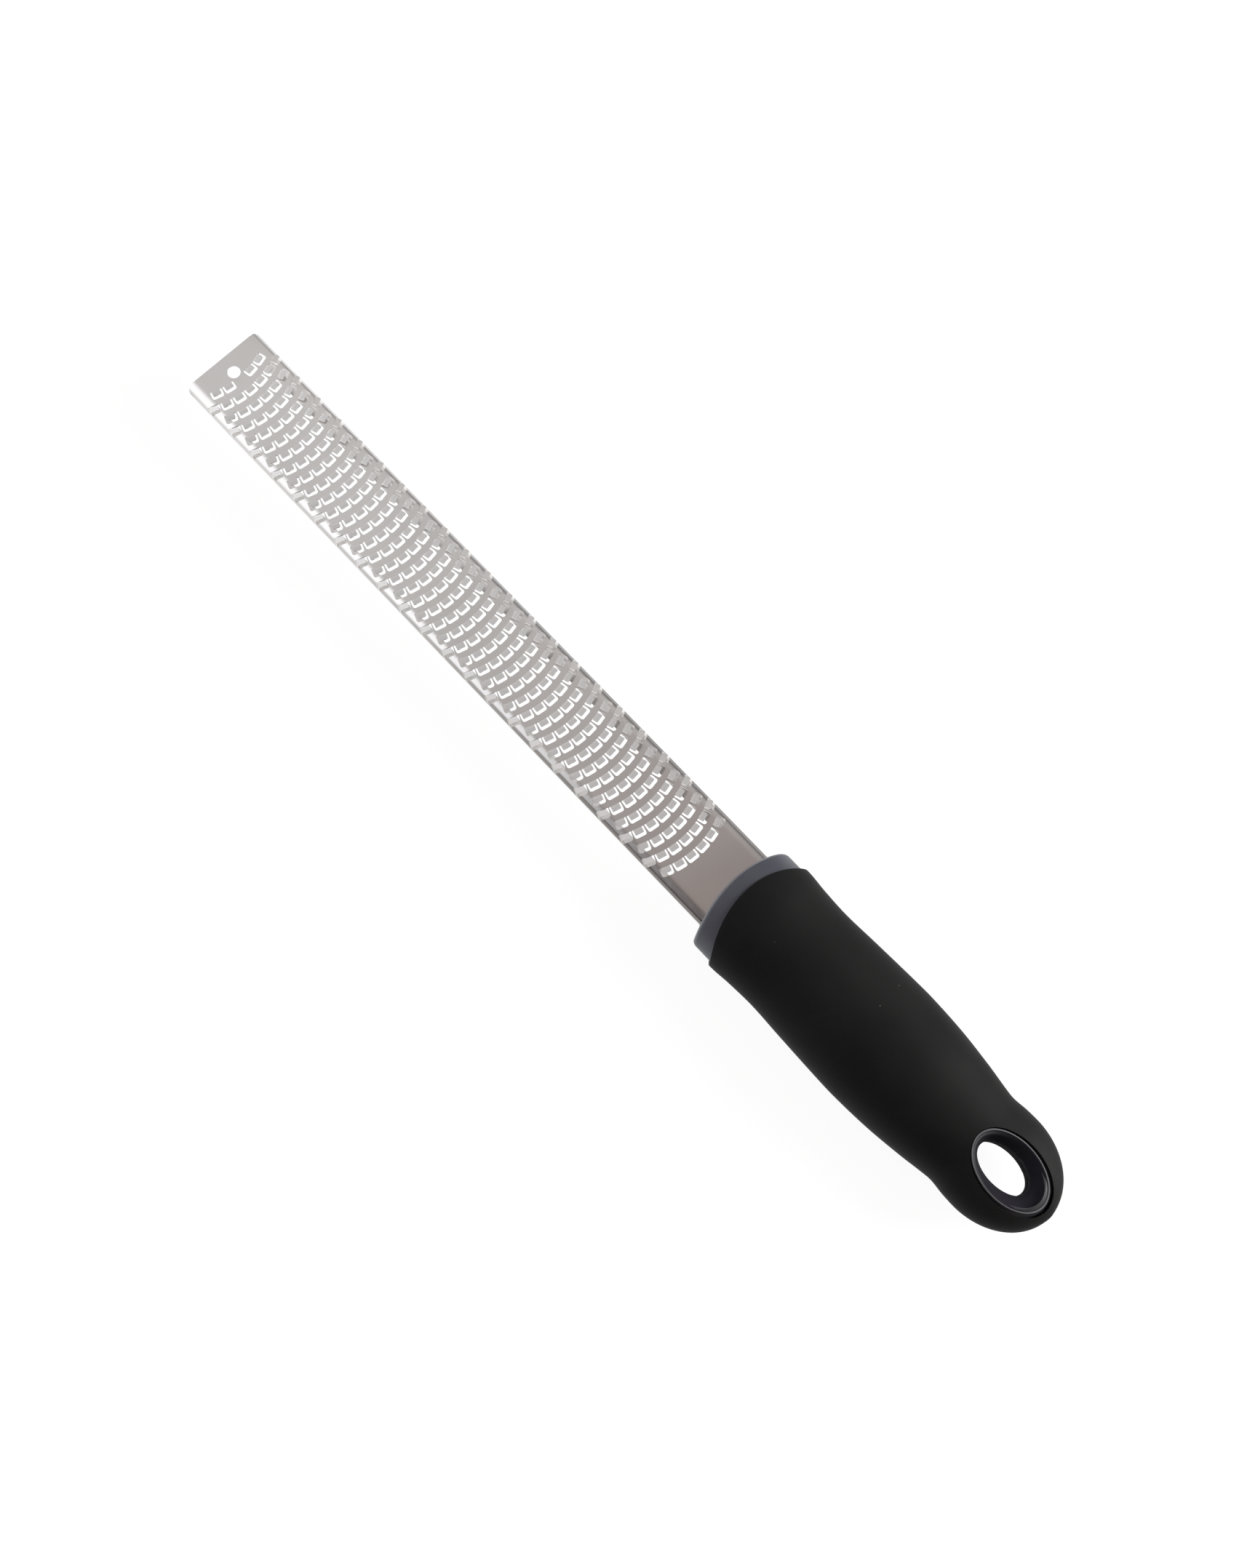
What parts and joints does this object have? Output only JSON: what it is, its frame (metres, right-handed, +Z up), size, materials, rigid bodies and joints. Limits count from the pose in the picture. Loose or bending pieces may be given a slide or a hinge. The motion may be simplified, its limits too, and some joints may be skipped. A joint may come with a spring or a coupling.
{
  "type": "rasp zester",
  "caption": "Long folded steel rasp with arcs of raised etched teeth, in a soft-grip handle with a front collar and an oval hang eyelet.",
  "frame": {"origin": "under the middle of the whole tool, on the level of the handle's lowest point", "axes": "+X along the tool from the rasp's tip to the handle's end, +Z up out of the toothed face, +Y across"},
  "size_m": [0.32, 0.0364, 0.026],
  "materials": {
    "blade_steel": "satin stainless sheet with sharp etched edges",
    "pin_steel": "plain steel pin",
    "core_plastic": "moulded, hidden inside",
    "collar_plastic": "satin moulded plastic, blue-grey black",
    "grip_rubber": "matte soft-touch rubber with a fine grain",
    "eyelet_plastic": "semi-gloss moulded plastic"
  },
  "bodies": {
    "root": {"blade": "blade_steel", "tang_pins": "pin_steel", "core_upper": "core_plastic", "core_lower": "core_plastic", "front_collar": "collar_plastic", "grip_sleeve": "grip_rubber", "eyelet_upper": "eyelet_plastic", "eyelet_lower": "eyelet_plastic"}
  },
  "joints": []
}
